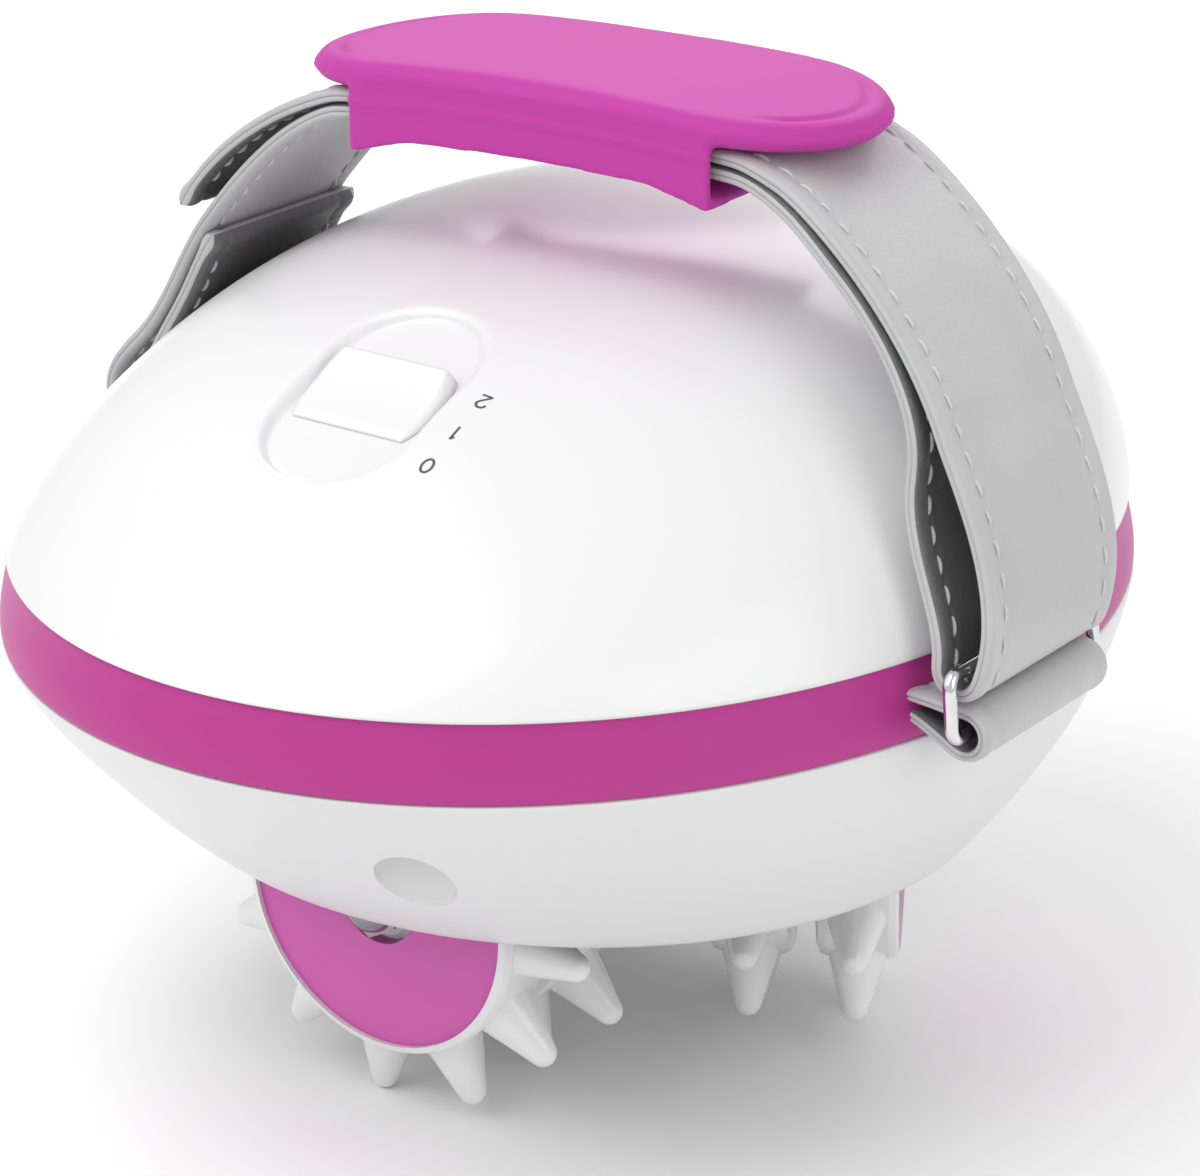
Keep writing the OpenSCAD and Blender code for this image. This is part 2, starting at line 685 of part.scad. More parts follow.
// Strap: one band, drawn as its middle line and thickened. The outer layer runs over the top and
// down the right, folds round the right bar, runs back inside, and folds round the left bar.
fold_r = wire_r + 1.1 + strap_t / 2;
layer_gap = strap_t + 0.3;
function crown_z(x) = belt_z + strap_top - crown_r + sqrt(crown_r * crown_r - x * x);
function bezier(p, n) = [for (i = [0:n]) let (t = i / n, s = 1 - t)
    s * s * s * p[0] + 3 * s * s * t * p[1] + 3 * s * t * t * p[2] + t * t * t * p[3]];
function arc(c, r, a0, a1, n) = [for (i = [0:n]) let (a = a0 + (a1 - a0) * i / n)
    [c[0] + r * cos(a), c[1] + r * sin(a)]];
function rest(v) = [for (i = [1:len(v) - 1]) v[i]];
// A point on the strap: distance from the middle, and height over the belt's edge
function at(x, z) = [x, belt_z + z];
crown_x = 28;
crown_drop = crown_z(crown_x) - belt_z;
bar_x = high_bar[0];
bar_z = high_bar[1] - belt_z;
left_bar = [-bar_x, high_bar[1]];
outer_line = concat(
    bezier([at(-54.2, 29.5), at(-49.5, 36.8), at(-38.5, 44.6), at(-crown_x, crown_drop)], 9),
    [for (i = [1:7]) let (x = crown_x * (i / 4 - 1)) [x, crown_z(x)]],
    bezier([at(crown_x, crown_drop), at(35, crown_drop - 1.6), at(52.5, 35.5), at(60.6, 22.5)], 9),
    rest(bezier([at(60.6, 22.5), at(65.5, 16), at(bar_x + fold_r + 1.1, 8), at(bar_x + fold_r, bar_z)], 8))
);
fold_right = arc(high_bar, fold_r, -18, -162, 8);
inner_line = concat(
    bezier([at(bar_x - fold_r, bar_z), at(bar_x - fold_r, 5), at(57.6, 12), at(57.4, 19)], 7),
    rest(bezier([at(57.4, 19), at(57.2, 25), at(50.5, 32.5), at(42.4, 38)], 6)),
    rest(bezier([at(42.4, 38), at(38.2, 40.9), at(34, crown_drop - layer_gap - 1.5),
                 at(crown_x, crown_drop - layer_gap)], 5)),
    [for (i = [1:7]) let (x = crown_x * (1 - i / 4)) [x, crown_z(x) - layer_gap]],
    bezier([at(-crown_x, crown_drop - layer_gap), at(-34, crown_drop - layer_gap - 1.9),
            at(-41.5, 38), at(-49, 29.7)], 7),
    rest(bezier([at(-49, 29.7), at(-55.5, 23), at(-57.5, 16), at(-64.8, 9.4)], 6)),
    rest(bezier([at(-64.8, 9.4), at(-68.6, 6), at(-bar_x - fold_r, 4), at(-bar_x - fold_r, bar_z)], 4))
);
fold_left = arc(left_bar, fold_r, 198, 342, 8);
return_line = concat(
    bezier([at(-bar_x + fold_r, bar_z), at(-bar_x + fold_r, 5), at(-58.6, 12.5), at(-55.6, 17)], 7),
    rest(bezier([at(-55.6, 17), at(-53.6, 20), at(-52.2, 22.8), at(-49.3, 26.4)], 4))
);
strap_line = concat(outer_line, fold_right, inner_line, fold_left, return_line);
function unit(v) = v / norm(v);
function side_at(p, i) = let (
    a = p[max(0, i - 1)], b = p[min(len(p) - 1, i + 1)], d = unit(b - a)
) [-d[1], d[0]];
// The strap runs straight through the grip, then aside towards each foot on its way down
function strap_y(p) = let (
    top = strap_top_y + tan(grip_turn) * max(-36, min(36, p[0])),
    down = max(0, min(1, 1 - (p[1] - belt_z) / (crown_drop - layer_gap - 0.4)))
) top + (foot_y(p[0]) - top) * down;
module strap() {
    n = len(strap_line);
    rows = [for (i = [0:n - 1]) let (
        p = strap_line[i], q = side_at(strap_line, i) * strap_t / 2, y = strap_y(p), w = strap_w / 2
    ) each [[p[0] + q[0], y - w, p[1] + q[1]], [p[0] - q[0], y - w, p[1] - q[1]],
            [p[0] - q[0], y + w, p[1] - q[1]], [p[0] + q[0], y + w, p[1] + q[1]]]];
    color(leather_grey) polyhedron(points = rows, faces = stack_faces(n, 4));
}

// Grip: an oval top plate on a sleeve that the strap runs through
channel_h = 2 * strap_t + 1.3;
module crown_slab(half, low, high) {
    middle = belt_z + strap_top - crown_r;
    intersection() {
        translate([0, 0, middle]) rotate([90, 0, 0]) difference() {
            cylinder(r = crown_r + high, h = 60, center = true, $fn = 720);
            cylinder(r = crown_r + low, h = 62, center = true, $fn = 720);
        }
        translate([0, 0, middle + crown_r]) cube([2 * half, 70, 60], center = true);
    }
}
// The floor of the sleeve falls away at both mouths, so the bent strap has room when the grip slides
module mouth_floor(side, low, width, top) {
    start = 17;
    radius = crown_r + top - channel_h;
    floor_z = belt_z + strap_top - crown_r + sqrt(radius * radius - start * start);
    run = sleeve_half_l - start + 1;
    translate([side * start, 0, floor_z]) rotate([0, side * 15, 0])
        translate([side > 0 ? -0.5 : 0.5 - run, -width / 2, -low]) cube([run, width, low + 2.6]);
}
module grip_sleeve() {
    sleeve_w = strap_w + 4.6;
    slack = 2;
    top = strap_t / 2 + 0.5;
    color(magenta) translate([0, strap_top_y, 0]) rotate(grip_turn) difference() {
        union() {
            intersection() {
                crown_slab(grip_half_l + 1, top, top + grip_t);
                translate([0, 0, belt_z]) rotate(90) stadium(2 * grip_half_l, sleeve_w, 80);
            }
            intersection() {
                crown_slab(grip_half_l, top - channel_h - 1.3, top + 1);
                translate([0, 0, belt_z + 40]) cube([2 * sleeve_half_l, sleeve_w - 0.4, 80], center = true);
            }
            for (side = [-1, 1]) intersection() {
                mouth_floor(side, 1.3, sleeve_w - 0.4, top);
                translate([0, 0, belt_z + 40]) cube([2 * sleeve_half_l, sleeve_w, 80], center = true);
            }
        }
        for (side = [-1, 1]) translate([side * 0.6, 0, 0]) mouth_floor(side, 0, strap_w + slack, top);
        intersection() {
            crown_slab(grip_half_l + 5, top - channel_h, top);
            translate([0, 0, belt_z + 40]) cube([3 * grip_half_l, strap_w + slack, 80], center = true);
        }
    }
}

upper_housing();
accent_belt();
lower_housing();
chassis_plate();
housing_screws();
motor();
motor_clamp();
worm_bearing();
spindle_bush();
circuit_board();
board_posts();
slide_switch();
supply_jack();
motor_shaft();
drive_worm();
worm_wheel();
output_spindle();
roller_carrier();
roller_axles();
domed_nuts();
outer_roller(roller_angles[0]);  // front_outer_roller
inner_roller(roller_angles[0]);  // front_inner_roller
roller_cover(roller_angles[0]);  // front_roller_cover
roller_bush(roller_angles[0]);  // front_roller_bush
outer_roller(roller_angles[1]);  // right_outer_roller
inner_roller(roller_angles[1]);  // right_inner_roller
roller_cover(roller_angles[1]);  // right_roller_cover
roller_bush(roller_angles[1]);  // right_roller_bush
outer_roller(roller_angles[2]);  // left_outer_roller
inner_roller(roller_angles[2]);  // left_inner_roller
roller_cover(roller_angles[2]);  // left_roller_cover
roller_bush(roller_angles[2]);  // left_roller_bush
switch_knob();
tab_loop(1);  // right_tab
tab_loop(-1);  // left_tab
clip(1);  // right_clip
clip(-1);  // left_clip
wire_ring(1);  // right_ring
wire_ring(-1);  // left_ring
strap();
grip_sleeve();
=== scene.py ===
import bpy
import bmesh
import json
import math
import numpy as np
from mathutils import Matrix, Vector


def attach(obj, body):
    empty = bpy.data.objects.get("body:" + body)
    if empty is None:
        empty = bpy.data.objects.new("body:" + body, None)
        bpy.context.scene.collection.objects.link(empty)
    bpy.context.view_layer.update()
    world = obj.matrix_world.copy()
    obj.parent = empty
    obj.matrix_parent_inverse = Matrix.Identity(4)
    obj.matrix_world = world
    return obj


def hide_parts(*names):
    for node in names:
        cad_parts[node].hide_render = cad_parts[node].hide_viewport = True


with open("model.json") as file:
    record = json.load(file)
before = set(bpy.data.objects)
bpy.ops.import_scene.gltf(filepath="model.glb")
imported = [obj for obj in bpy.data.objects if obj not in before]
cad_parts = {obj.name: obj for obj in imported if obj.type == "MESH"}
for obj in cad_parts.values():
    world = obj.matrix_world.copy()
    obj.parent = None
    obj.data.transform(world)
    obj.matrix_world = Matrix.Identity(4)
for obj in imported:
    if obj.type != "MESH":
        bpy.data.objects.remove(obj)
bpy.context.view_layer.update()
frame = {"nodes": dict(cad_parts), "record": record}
MM = 0.001
AXLE_Z = 27.82
BELT_Z = AXLE_Z + 39.5
scene = bpy.context.scene

# Camera, at the distance and height that the photograph's perspective gives. Lens and frame follow
# from the belt's two ellipses.
right = Vector((0.80654, 0.59118, 0.0)).normalized()
back = Vector((0.5500, -0.7502, 0.3669)).normalized()
up = back.cross(right).normalized()
right = up.cross(back).normalized()
cam_data = bpy.data.cameras.new("camera")
cam = bpy.data.objects.new("camera", cam_data)
scene.collection.objects.link(cam)
cam.matrix_world = Matrix((
    (right.x, up.x, back.x, 268.72 * MM),
    (right.y, up.y, back.y, -362.23 * MM),
    (right.z, up.z, back.z, (165.19 + BELT_Z) * MM),
    (0, 0, 0, 1)))
cam_data.lens = 117.76
cam_data.sensor_width = 36
cam_data.clip_start = 0.01
cam_data.clip_end = 10
scene.camera = cam

# Floor, world and lights: a white sweep under a large soft light, with a weaker one from the right.
scene.view_settings.view_transform = "Standard"
world = bpy.data.worlds.new("studio")
scene.world = world
world.use_nodes = True
world.node_tree.nodes["Background"].inputs["Color"].default_value = (1, 1, 1, 1)
world.node_tree.nodes["Background"].inputs["Strength"].default_value = 0.66
floor_mesh = bpy.data.meshes.new("floor")
floor_mesh.from_pydata([(-3, -3, 0), (3, -3, 0), (3, 3, 0), (-3, 3, 0)], [], [(0, 1, 2, 3)])
floor = bpy.data.objects.new("floor", floor_mesh)
scene.collection.objects.link(floor)
floor_mat = bpy.data.materials.new("floor_white")
floor_mat.use_nodes = True
floor_bsdf = floor_mat.node_tree.nodes["Principled BSDF"]
floor_bsdf.inputs["Base Color"].default_value = (0.93, 0.93, 0.93, 1)
floor_bsdf.inputs["Roughness"].default_value = 0.6
floor_bsdf.inputs["Specular IOR Level"].default_value = 0.1
floor_mesh.materials.append(floor_mat)


def area_light(name, place, aim, size, power):
    data = bpy.data.lights.new(name, "AREA")
    data.shape = "RECTANGLE"
    data.size, data.size_y = size
    data.energy = power
    lamp = bpy.data.objects.new(name, data)
    lamp.location = place
    lamp.rotation_euler = (Vector(aim) - Vector(place)).to_track_quat("-Z", "Y").to_euler()
    scene.collection.objects.link(lamp)


area_light("key", (-0.25, -0.45, 0.75), (0, 0, 0.06), (0.8, 0.8), 4.2)
area_light("side", (0.8, -0.1, 0.5), (0, 0, 0.07), (0.5, 0.7), 1.4)
area_light("back", (-0.35, 0.7, 0.6), (0, 0, 0.08), (0.7, 0.4), 2.6)


# Shared shading groups. Each gives a colour, a roughness and a normal for one kind of surface.
def new_group(name, inputs):
    tree = bpy.data.node_groups.new(name, "ShaderNodeTree")
    for label, kind, value in inputs:
        socket = tree.interface.new_socket(label, in_out="INPUT", socket_type=kind)
        socket.default_value = value
    tree.interface.new_socket("Color", in_out="OUTPUT", socket_type="NodeSocketColor")
    tree.interface.new_socket("Roughness", in_out="OUTPUT", socket_type="NodeSocketFloat")
    tree.interface.new_socket("Normal", in_out="OUTPUT", socket_type="NodeSocketVector")
    return tree, tree.nodes.new("NodeGroupInput"), tree.nodes.new("NodeGroupOutput")


def wire(tree, a, out, b, into):
    tree.links.new(a.outputs[out], b.inputs[into])


def vary_color(tree, source, factor, dark, light):
    # Colour times a value between dark and light, steered by a 0..1 factor
    span = tree.nodes.new("ShaderNodeMapRange")
    span.inputs["To Min"].default_value = dark
    span.inputs["To Max"].default_value = light
    tree.links.new(factor, span.inputs["Value"])
    mix = tree.nodes.new("ShaderNodeVectorMath")
    mix.operation = "SCALE"
    tree.links.new(source, mix.inputs[0])
    tree.links.new(span.outputs["Result"], mix.inputs["Scale"])
    return mix.outputs["Vector"]


# Moulded plastic: faint cloudiness and a fine spark-eroded grain
moulded, g_in, g_out = new_group("moulded_plastic", [
    ("Base", "NodeSocketColor", (0.8, 0.8, 0.8, 1)), ("Gloss", "NodeSocketFloat", 0.3),
    ("Grain", "NodeSocketFloat", 0.04)])
coords = moulded.nodes.new("ShaderNodeTexCoord")
cloud = moulded.nodes.new("ShaderNodeTexNoise")
cloud.inputs["Scale"].default_value = 22
cloud.inputs["Detail"].default_value = 3
grain = moulded.nodes.new("ShaderNodeTexNoise")
grain.inputs["Scale"].default_value = 1900
grain.inputs["Detail"].default_value = 2
wire(moulded, coords, "Object", cloud, "Vector")
wire(moulded, coords, "Object", grain, "Vector")
tint = vary_color(moulded, g_in.outputs["Base"], cloud.outputs["Fac"], 0.97, 1.02)
moulded.links.new(tint, g_out.inputs["Color"])
rough = moulded.nodes.new("ShaderNodeMath")
rough.operation = "MULTIPLY_ADD"
wire(moulded, cloud, "Fac", rough, 0)
rough.inputs[1].default_value = 0.08
wire(moulded, g_in, "Gloss", rough, 2)
wire(moulded, rough, "Value", g_out, "Roughness")
bump = moulded.nodes.new("ShaderNodeBump")
bump.inputs["Distance"].default_value = 0.0001
wire(moulded, grain, "Fac", bump, "Height")
wire(moulded, g_in, "Grain", bump, "Strength")
wire(moulded, bump, "Normal", g_out, "Normal")

# Leather: pebbled grain of about half a millimetre with finer pores between, and soft colour drift
leather, g_in, g_out = new_group("leather_grain", [
    ("Base", "NodeSocketColor", (0.55, 0.55, 0.55, 1)), ("Depth", "NodeSocketFloat", 0.35)])
coords = leather.nodes.new("ShaderNodeTexCoord")
pebble = leather.nodes.new("ShaderNodeTexVoronoi")
pebble.feature = "SMOOTH_F1"
pebble.inputs["Scale"].default_value = 1500
pores = leather.nodes.new("ShaderNodeTexNoise")
pores.inputs["Scale"].default_value = 2600
pores.inputs["Detail"].default_value = 4
drift = leather.nodes.new("ShaderNodeTexNoise")
drift.inputs["Scale"].default_value = 90
drift.inputs["Detail"].default_value = 4
for tex in (pebble, pores, drift):
    wire(leather, coords, "Object", tex, "Vector")
height = leather.nodes.new("ShaderNodeMath")
height.operation = "MULTIPLY_ADD"
wire(leather, pores, "Fac", height, 0)
height.inputs[1].default_value = 0.5
wire(leather, pebble, "Distance", height, 2)
bump = leather.nodes.new("ShaderNodeBump")
bump.inputs["Distance"].default_value = 0.0002
wire(leather, height, "Value", bump, "Height")
wire(leather, g_in, "Depth", bump, "Strength")
wire(leather, bump, "Normal", g_out, "Normal")
tint = vary_color(leather, g_in.outputs["Base"], drift.outputs["Fac"], 0.9, 1.08)
leather.links.new(tint, g_out.inputs["Color"])
rough = leather.nodes.new("ShaderNodeMapRange")
rough.inputs["To Min"].default_value = 0.42
rough.inputs["To Max"].default_value = 0.6
wire(leather, pebble, "Distance", rough, "Value")
wire(leather, rough, "Result", g_out, "Roughness")

# Metal: turning marks or a light haze over a polished surface
metal, g_in, g_out = new_group("turned_metal", [
    ("Base", "NodeSocketColor", (0.7, 0.7, 0.72, 1)), ("Gloss", "NodeSocketFloat", 0.1),
    ("Marks", "NodeSocketFloat", 0.05)])
coords = metal.nodes.new("ShaderNodeTexCoord")
marks = metal.nodes.new("ShaderNodeTexNoise")
marks.inputs["Scale"].default_value = 420
marks.inputs["Detail"].default_value = 5
wire(metal, coords, "Object", marks, "Vector")
tint = vary_color(metal, g_in.outputs["Base"], marks.outputs["Fac"], 0.86, 1.06)
metal.links.new(tint, g_out.inputs["Color"])
rough = metal.nodes.new("ShaderNodeMath")
rough.operation = "MULTIPLY_ADD"
wire(metal, marks, "Fac", rough, 0)
rough.inputs[1].default_value = 0.12
wire(metal, g_in, "Gloss", rough, 2)
wire(metal, rough, "Value", g_out, "Roughness")
bump = metal.nodes.new("ShaderNodeBump")
bump.inputs["Distance"].default_value = 0.0001
wire(metal, marks, "Fac", bump, "Height")
wire(metal, g_in, "Marks", bump, "Strength")
wire(metal, bump, "Normal", g_out, "Normal")


def material(name, group, base, values, metallic=0.0, coat=0.0, sheen=0.0, specular=0.5):
    mat = bpy.data.materials.new(name)
    mat.use_nodes = True
    tree = mat.node_tree
    bsdf = tree.nodes["Principled BSDF"]
    node = tree.nodes.new("ShaderNodeGroup")
    node.node_tree = group
    node.inputs["Base"].default_value = (*base, 1)
    for label, value in values.items():
        node.inputs[label].default_value = value
    wire(tree, node, "Color", bsdf, "Base Color")
    wire(tree, node, "Roughness", bsdf, "Roughness")
    wire(tree, node, "Normal", bsdf, "Normal")
    bsdf.inputs["Metallic"].default_value = metallic
    bsdf.inputs["Coat Weight"].default_value = coat
    bsdf.inputs["Coat Roughness"].default_value = 0.12
    bsdf.inputs["Sheen Weight"].default_value = sheen
    bsdf.inputs["Specular IOR Level"].default_value = specular
    return mat


white_shell = material("white_shell", moulded, (0.83, 0.83, 0.835), {"Gloss": 0.2, "Grain": 0.02}, coat=0.15)
# pale_shell: the dome's white with a lower base, painted shade for the bowl that faces down; the screw wells
# take it too.
pale_shell = material("pale_shell", moulded, (0.76, 0.76, 0.765), {"Gloss": 0.26, "Grain": 0.03})
roller_white = material("roller_white", moulded, (0.8, 0.8, 0.805), {"Gloss": 0.16, "Grain": 0.02}, coat=0.3)
disc_magenta = material("disc_magenta", moulded, (0.62, 0.1, 0.42), {"Gloss": 0.34, "Grain": 0.05})
grey_leather = material("grey_leather", leather, (0.53, 0.53, 0.535), {"Depth": 0.3}, sheen=0.1)
chrome = material("chrome", metal, (0.78, 0.78, 0.79), {"Gloss": 0.02, "Marks": 0.02}, metallic=1)
# Chrome darkened to 0.3: painted shade for the domed nuts in the hub recesses.
nut_chrome_painted_shade = material("nut_chrome_painted_shade", metal, (0.3, 0.3, 0.32), {"Gloss": 0.05, "Marks": 0.04}, metallic=1)
steel = material("steel", metal, (0.5, 0.51, 0.53), {"Gloss": 0.22, "Marks": 0.2}, metallic=1)
bronze = material("bronze", metal, (0.55, 0.36, 0.16), {"Gloss": 0.35, "Marks": 0.4}, metallic=1)
inner_plastic = material("inner_plastic", moulded, (0.72, 0.72, 0.74), {"Gloss": 0.4, "Grain": 0.1})
gear_plastic = material("gear_plastic", moulded, (0.8, 0.76, 0.62), {"Gloss": 0.35, "Grain": 0.06})
dark_plastic = material("dark_plastic", moulded, (0.03, 0.03, 0.032), {"Gloss": 0.4, "Grain": 0.1})
board_green = material("board_green", moulded, (0.03, 0.2, 0.08), {"Gloss": 0.3, "Grain": 0.1})

# Solids that show as they are, such as the rollers, the rings and what lies inside, take these
# finishes by the record's slots. The domed nuts get a chrome darkened as painted shade for the
# shadowed hub recesses they sit in.
by_slot = {
    "white_shell": white_shell, "pale_shell": pale_shell, "accent": disc_magenta,
    "roller_white": roller_white, "leather_grey": grey_leather, "wire": chrome, "steel": steel,
    "bronze": bronze, "inner_plastic": inner_plastic, "gear_plastic": gear_plastic,
    "dark_plastic": dark_plastic, "board_green": board_green}
for part in frame["record"]["subparts"]:
    node = frame["nodes"][part["node"]]
    for slot in node.material_slots:
        own = nut_chrome_painted_shade if part["node"] == "domed_nuts" else None
        slot.material = own or by_slot[part["material_slot"]]


def add_piece(name, points, faces, body, finish, replaces=(), smooth=True):
    # Makes a mesh from points in millimetres and ties it to its CAD body
    mesh = bpy.data.meshes.new(name)
    mesh.from_pydata([tuple(float(c) * MM for c in p) for p in points], [], faces)
    mesh.validate()
    mesh.update()
    if smooth:
        mesh.polygons.foreach_set("use_smooth", [True] * len(mesh.polygons))
    piece = bpy.data.objects.new(name, mesh)
    scene.collection.objects.link(piece)
    for mat in finish if isinstance(finish, (list, tuple)) else (finish,):
        mesh.materials.append(mat)
    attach(piece, body)
    if replaces:
        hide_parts(*replaces)
    return piece


def ring_faces(rings, count, closed_ends=False, loop=False):
    faces = []
    for k in range(rings if loop else rings - 1):
        for i in range(count):
            j = (i + 1) % count
            n = (k + 1) % rings
            faces.append((k * count + i, k * count + j, n * count + j, n * count + i))
    if closed_ends:
        faces.append(tuple(reversed(range(count))))
        faces.append(tuple((rings - 1) * count + i for i in range(count)))
    return faces


def apply_modifier(piece, kind, **settings):
    mod = piece.modifiers.new(kind.lower(), kind)
    for key, value in settings.items():
        setattr(mod, key, value)
    bpy.context.view_layer.update()
    done = bpy.data.meshes.new_from_object(
        piece.evaluated_get(bpy.context.evaluated_depsgraph_get()))
    piece.modifiers.clear()
    old = piece.data
    piece.data = done
    bpy.data.meshes.remove(old)
    return piece


# Dome: the white moulded upper housing. Every level is one ellipse, smaller and further back, and
# the thumb recess is sunk into it. The mesh runs in rings from the recess's middle to the belt.
HALF_L, HALF_W, DOME_H, DOME_BACK = 75.0, 64.0, 33.0, 16.5
POWER, ROOT = 3.0, 0.76


def dome_rise(f):
    return np.clip(1 - np.asarray(f) ** POWER, 0, None) ** ROOT


def dome_height(x, y):
    lo, hi = np.zeros_like(x), np.full_like(x, DOME_H)
    for _ in range(40):
        z = (lo + hi) / 2
        f = np.hypot(x / HALF_W, (y - DOME_BACK * z / DOME_H) / HALF_L)
        inside = (f < 1) & (DOME_H * dome_rise(f) > z)
        lo, hi = np.where(inside, z, lo), np.where(inside, hi, z)
    return lo


SLOT_Y, SLOT_L, SLOT_W, SLOT_D = -39.5, 30.5, 19.5, 2.2
one = np.ones(1)
slot_z = float(dome_height(0 * one, SLOT_Y * one)[0])
slot_tilt = math.atan2(
    float(dome_height(0 * one, (SLOT_Y + 6) * one)[0] - dome_height(0 * one, (SLOT_Y - 6) * one)[0]), 12)
slot_along = np.array([0, math.cos(slot_tilt), math.sin(slot_tilt)])
slot_out = np.array([0, -math.sin(slot_tilt), math.cos(slot_tilt)])
slot_mid = np.array([0, SLOT_Y, slot_z])
RAYS = 360
turn = np.linspace(0, 2 * np.pi, RAYS, endpoint=False)


def stadium_reach(angle, length, width):
    # Distance from the middle to a stadium's edge, its long side along the second axis
    r, half = width / 2, (length - width) / 2
    c, s = np.cos(angle), np.sin(angle)
    side = r / np.maximum(np.abs(c), 1e-9)
    cap = half * np.abs(s) + np.sqrt(np.maximum(r * r - (half * c) ** 2, 0))
    return np.where(side * np.abs(s) <= half, side, cap)


def surface_point(u, v):
    # Point of the plain dome under the place (u, v) of the recess's plane
    p = slot_mid + np.outer(u, [1, 0, 0]) + np.outer(v, slot_along)
    for _ in range(12):
        gap = dome_height(p[:, 0], p[:, 1]) - p[:, 2]
        p = p + np.outer(gap * 0.85, slot_out)
    return p


dome_points = []
for share in np.linspace(0.04, 0.83, 8):
    reach = stadium_reach(turn, SLOT_L, SLOT_W) * share
    u, v = reach * np.cos(turn), reach * np.sin(turn)
    dome_points.append(slot_mid + np.outer(u, [1, 0, 0]) + np.outer(v, slot_along) - SLOT_D * slot_out)
for grow, depth in ((-1.3, 1.0), (-0.85, 0.985), (-0.6, 0.93), (-0.4, 0.8), (-0.22, 0.6), (0.0, 0.36),
                    (0.3, 0.17), (0.65, 0.07), (1.05, 0.02), (1.6, 0.0)):
    reach = stadium_reach(turn, SLOT_L + 2 * grow, SLOT_W + 2 * grow)
    u, v = reach * np.cos(turn), reach * np.sin(turn)
    p = surface_point(u, v)
    out = (p - slot_mid) @ slot_out
    p = p - np.outer((out + SLOT_D) * depth, slot_out)
    dome_points.append(p)
edge = dome_points[-1]
disc = np.stack([edge[:, 0] / HALF_W, (edge[:, 1] - DOME_BACK * edge[:, 2] / DOME_H) / HALF_L], 1)
middle = np.array([0, (SLOT_Y - DOME_BACK * slot_z / DOME_H) / HALF_L])
ray = disc - middle
ray_len = np.linalg.norm(ray, axis=1, keepdims=True)
ray = ray / ray_len
along = ray @ middle
limit = -along + np.sqrt(along ** 2 + 1 - middle @ middle)
for s in np.linspace(0, 1, 76)[1:]:
    s = 1 - (1 - s ** 1.25) ** 1.5
    q = middle + ray * (ray_len + (limit[:, None] - ray_len) * s)
    f = np.minimum(np.hypot(q[:, 0], q[:, 1]), 1)
    z = DOME_H * dome_rise(f)
    dome_points.append(np.stack([HALF_W * q[:, 0], HALF_L * q[:, 1] + DOME_BACK * z / DOME_H, z], 1))
lip = dome_points[-1].copy()
lip[:, :2] *= 0.9955
lip[:, 2] = -0.25
dome_points.append(lip)
rings = len(dome_points)
points = np.concatenate(dome_points) + [0, 0, BELT_Z]
faces = ring_faces(rings, RAYS)
faces.append(tuple(reversed(range(RAYS))))
dome = add_piece("dome_shell", points, [tuple(reversed(f)) for f in faces], "main_body",
                 white_shell, ("upper_housing",))
bm = bmesh.new()
bm.from_mesh(dome.data)
bmesh.ops.recalc_face_normals(bm, faces=bm.faces)
bm.to_mesh(dome.data)
bm.free()
apply_modifier(dome, "SOLIDIFY", thickness=0.5 * MM, offset=-1)


# Belt: a soft magenta band that is clamped between the two housings all round. It is hollowed at
# its top edge, fuller below, and ends in a small round at the lower edge.
belt_magenta = material(
    "belt_magenta", moulded, (0.47, 0.036, 0.26), {"Gloss": 0.36, "Grain": 0.05}, specular=0.35)


def elliptic_sweep(profile, half_w, half_l, count):
    a = np.linspace(0, 2 * np.pi, count, endpoint=False)
    rings = []
    for out, z in profile:
        rings.append(np.stack([(half_w + out * half_w / half_l) * np.cos(a), (half_l + out) * np.sin(a),
                               np.full(count, z)], 1))
    return np.concatenate(rings)


BELT_H, FLARE = 9.2, 1.1
belt_profile = [(-3.2, -BELT_H), (-3.2, -0.02), (-0.75, -0.02), (-0.48, -0.1), (-0.37, -0.35)]
for s in np.linspace(0.08, 0.92, 15):
    swell = FLARE * (0.5 - 0.5 * math.cos(math.pi * min(1, s * 1.12))) - 0.36 * (1 - s) ** 2
    belt_profile.append((swell, -BELT_H * s))
belt_profile += [(FLARE - 0.02, -BELT_H + 0.45), (FLARE - 0.12, -BELT_H + 0.16), (FLARE - 0.4, -BELT_H)]
count = 360
points = elliptic_sweep(belt_profile, HALF_W, HALF_L, count) + [0, 0, BELT_Z]
faces = ring_faces(len(belt_profile), count, loop=True)
add_piece("soft_belt", points, faces, "main_body", belt_magenta, ("accent_belt",))

# Lower housing: a moulded bowl under the belt, in the shell white darkened as painted shade. It
# narrows from the belt's ellipse to a nearly round rim, which is open below for the rollers, and four
# screw wells are cut up into it.
RIM_W, RIM_L, BOWL_H = 52.0, 49.6, 27.8
BELT_LOW = BELT_Z - BELT_H


def bowl_ring(u, inset, z, count):
    a = np.linspace(0, 2 * np.pi, count, endpoint=False)
    w = RIM_W - inset + (HALF_W + FLARE - RIM_W) * max(0, 1 - u ** 1.84) ** 1.05
    l = RIM_L - inset + (HALF_L + FLARE - RIM_L) * max(0, 1 - u ** 1.15) ** 0.94
    return np.stack([w * np.cos(a), l * np.sin(a), np.full(count, z)], 1)


